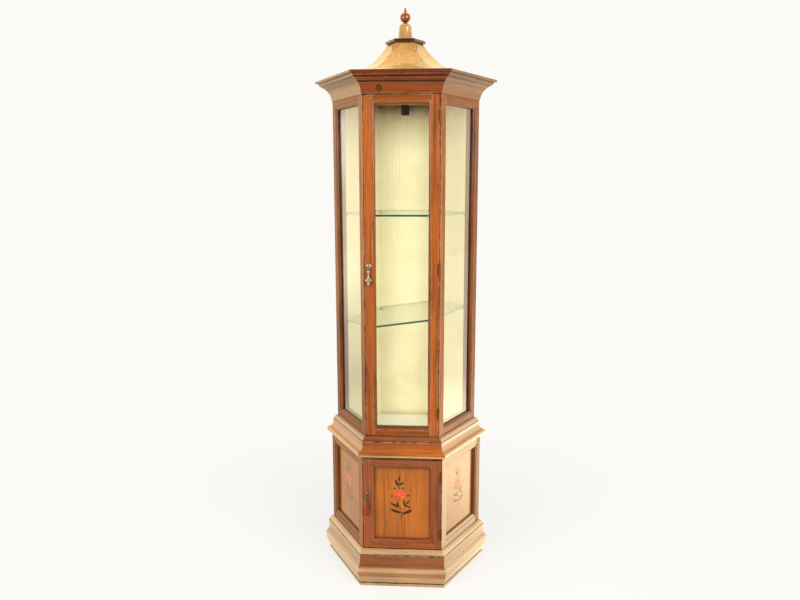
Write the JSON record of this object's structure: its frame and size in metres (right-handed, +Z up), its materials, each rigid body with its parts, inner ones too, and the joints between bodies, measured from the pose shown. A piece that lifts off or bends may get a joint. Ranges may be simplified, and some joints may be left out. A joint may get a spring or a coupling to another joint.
{
  "type": "display cabinet",
  "caption": "Six-sided wooden display cabinet with a glazed case on a panelled cupboard, hinged doors, glass shelves, swept roof and turned finial.",
  "frame": {"origin": "on the floor under the middle of the cabinet", "axes": "+Z up, -Y to the front, towards the doors, +X to the right as seen from the front"},
  "size_m": [0.604, 0.523, 1.9],
  "materials": {
    "frame_wood": "lacquered wood, satin",
    "moulding_wood": "lacquered wood, satin",
    "panel_wood": "lacquered wood, satin",
    "back_wood": "plain wood, matt",
    "bead_wood": "lacquered wood, satin",
    "roof_wood": "lacquered wood, satin",
    "cap_wood": "lacquered wood, satin",
    "bell_wood": "lacquered wood, glossy",
    "finial_wood": "lacquered wood, glossy",
    "pane_glass": "clear",
    "shelf_glass": "clear with green edges",
    "lining_fabric": "pleated cloth",
    "floor_paint": "painted board",
    "aged_brass": "aged",
    "hinge_brass": "dull",
    "lock_steel": "worn",
    "black_plastic": "matt",
    "tassel_silk": "twisted thread"
  },
  "bodies": {
    "cabinet": {"cupboard_post_front_left": "frame_wood", "cupboard_post_front_right": "frame_wood", "cupboard_rear_posts": "frame_wood", "cupboard_bottom_rails": "frame_wood", "cupboard_top_rails": "frame_wood", "case_post_front_left": "frame_wood", "case_post_front_right": "frame_wood", "case_rear_posts": "frame_wood", "case_bottom_rails": "frame_wood", "case_top_rails": "frame_wood", "plinth_mouldings": "moulding_wood", "waist_mouldings": "moulding_wood", "cornice_mouldings": "moulding_wood", "cornice_board": "moulding_wood", "base_board": "moulding_wood", "cupboard_panel_front_left": "panel_wood", "cupboard_panel_front_right": "panel_wood", "cupboard_rear_panels": "back_wood", "case_back_boards": "back_wood", "cupboard_floor": "back_wood", "case_floor": "back_wood", "ceiling_board": "back_wood", "side_glazing_beads": "bead_wood", "roof_boards": "roof_wood", "cap_plate": "cap_wood", "bell": "bell_wood", "finial": "finial_wood", "side_panes": "pane_glass", "upper_shelf": "shelf_glass", "lower_shelf": "shelf_glass", "lining_back": "lining_fabric", "lining_back_left": "lining_fabric", "lining_back_right": "lining_fabric", "floor_lining": "floor_paint", "switch_bezel": "aged_brass", "shelf_pegs": "aged_brass", "hinge_post_leaves": "hinge_brass", "hinge_pins": "hinge_brass", "lamp_holder": "black_plastic", "switch_body": "black_plastic", "catch_magnet": "black_plastic"},
    "upper_door": {"upper_door_stiles": "frame_wood", "upper_door_rails": "frame_wood", "upper_door_glass": "pane_glass", "upper_door_beads": "bead_wood", "upper_door_hinge_leaves": "hinge_brass", "pull_rosette": "aged_brass", "catch_strike": "lock_steel"},
    "pull": {"pull_drop": "aged_brass"},
    "lower_door": {"lower_door_stiles": "frame_wood", "lower_door_rails": "frame_wood", "lower_door_panel": "panel_wood", "lower_door_hinge_leaves": "hinge_brass", "lock_case": "lock_steel", "key_escutcheon": "aged_brass"},
    "lock_bolt": {"lock_bolt": "lock_steel"},
    "key": {"key": "lock_steel"},
    "tassel": {"key_tassel": "tassel_silk"},
    "switch_lever": {"switch_lever": "aged_brass"}
  },
  "joints": [
    {"name": "upper_door_swing", "type": "hinge", "parent": "cabinet", "child": "upper_door", "pos_m": [0.11851, -0.2145, 1.062], "axis": [0, 0, 1], "range_deg": [0, 130]},
    {"name": "lower_door_swing", "type": "hinge", "parent": "cabinet", "child": "lower_door", "pos_m": [0.12942, -0.2334, 0.287], "axis": [0, 0, 1], "range_deg": [0, 130]},
    {"name": "pull_swing", "type": "hinge", "parent": "upper_door", "child": "pull", "pos_m": [-0.10491, -0.2245, 1.08], "axis": [-1, 0, 0], "range_deg": [0, 75]},
    {"name": "key_turn", "type": "hinge", "parent": "lower_door", "child": "key", "pos_m": [-0.11452, -0.2304, 0.32], "axis": [0, 1, 0], "range_deg": [0, 90]},
    {"name": "bolt_throw", "type": "slide", "parent": "lower_door", "child": "lock_bolt", "axis": [-1, 0, 0], "range_m": [0, 0.006]},
    {"name": "tassel_swing", "type": "hinge", "parent": "key", "child": "tassel", "pos_m": [-0.11452, -0.2504, 0.311], "axis": [0, 1, 0], "range_deg": [-90, 0]},
    {"name": "switch_toggle", "type": "hinge", "parent": "cabinet", "child": "switch_lever", "pos_m": [-0.068, -0.2166, 1.6225], "axis": [-1, 0, 0], "range_deg": [0, 28]}
  ],
  "couplings": [
    {"joint": "bolt_throw", "follows": "key_turn", "m_per_rad": 0.0038193},
    {"joint": "tassel_swing", "follows": "key_turn", "ratio": -1}
  ]
}
